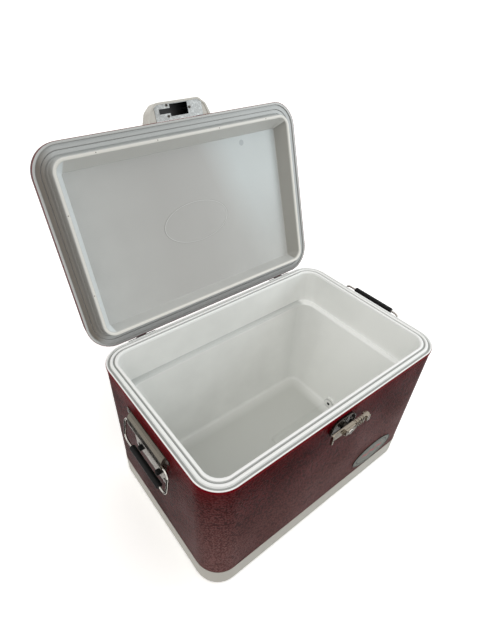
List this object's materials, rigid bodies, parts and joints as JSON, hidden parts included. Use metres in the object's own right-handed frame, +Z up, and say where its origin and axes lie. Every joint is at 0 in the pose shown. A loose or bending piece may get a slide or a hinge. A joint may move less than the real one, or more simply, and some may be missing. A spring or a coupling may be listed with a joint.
{
  "type": "cooler",
  "caption": "Steel-belted ice chest with hinged lid, lever latch, swing-up side handles, drain and plastic liner.",
  "frame": {"origin": "centre of the underside of the base tray, on the ground", "axes": "+Z up, -Y towards the front with the latch, +X to the right seen from the front"},
  "size_m": [0.6438, 0.5872, 0.751],
  "materials": {
    "body_paint": "gloss",
    "tray_plastic": "satin",
    "liner_plastic": "satin",
    "foam": "matte",
    "seal_rubber": "matte",
    "black_plastic": "satin",
    "badge_metal": "satin",
    "dark_metal": "satin",
    "bright_chrome": "polished",
    "nickel": "satin",
    "hood_plastic": "satin",
    "galvanised_steel": "satin",
    "screw_steel": "satin",
    "grip_rubber": "matte"
  },
  "bodies": {
    "cooler_body": {"base_tray": "tray_plastic", "outer_shell": "body_paint", "inner_liner": "liner_plastic", "body_foam": "foam", "drain_spout": "liner_plastic", "drain_washer": "seal_rubber", "drain_nut": "tray_plastic", "front_badge": "badge_metal", "latch_cup": "dark_metal", "latch_keeper": "bright_chrome", "latch_pin": "bright_chrome", "latch_screws": "screw_steel", "hinge_screws_body": "screw_steel", "hinge_leaf_body_left": "galvanised_steel", "hinge_pin_left": "screw_steel", "handle_bracket_left": "nickel", "handle_rivets_left": "screw_steel", "handle_bumpers_left": "grip_rubber", "hinge_leaf_body_right": "galvanised_steel", "hinge_pin_right": "screw_steel", "handle_bracket_right": "nickel", "handle_rivets_right": "screw_steel", "handle_bumpers_right": "grip_rubber"},
    "lid": {"lid_shell": "body_paint", "lid_pan": "liner_plastic", "lid_foam": "foam", "lid_gasket": "seal_rubber", "panel_emblem": "liner_plastic", "latch_hood": "hood_plastic", "hood_plate": "galvanised_steel", "plate_screws": "screw_steel", "hinge_screws_lid": "screw_steel", "hinge_leaf_lid_left": "galvanised_steel", "hinge_leaf_lid_right": "galvanised_steel"},
    "lever": {"latch_lever": "nickel"},
    "drain_cap": {"drain_plug": "black_plastic"},
    "left_handle": {"handle_bail_left": "bright_chrome", "handle_grip_left": "grip_rubber"},
    "right_handle": {"handle_bail_right": "bright_chrome", "handle_grip_right": "grip_rubber"}
  },
  "joints": [
    {"name": "lid_hinge", "type": "hinge", "parent": "cooler_body", "child": "lid", "pos_m": [0, 0.2009, 0.3452], "axis": [1, 0, 0], "range_deg": [0, 107.9]},
    {"name": "lever_turn", "type": "hinge", "parent": "cooler_body", "child": "lever", "pos_m": [-0.005, -0.2, 0.3162], "axis": [0, -1, 0], "range_deg": [0, 117.5]},
    {"name": "left_handle_swing", "type": "hinge", "parent": "cooler_body", "child": "left_handle", "pos_m": [-0.307, 0, 0.285], "axis": [0, 1, 0], "range_deg": [0, 168.5]},
    {"name": "right_handle_swing", "type": "hinge", "parent": "cooler_body", "child": "right_handle", "pos_m": [0.307, 0, 0.285], "axis": [0, 1, 0], "range_deg": [-4.6, 163.9]},
    {"name": "plug_pull", "type": "slide", "parent": "cooler_body", "child": "drain_cap", "axis": [1, 0, 0], "range_m": [0, 0.02]}
  ]
}
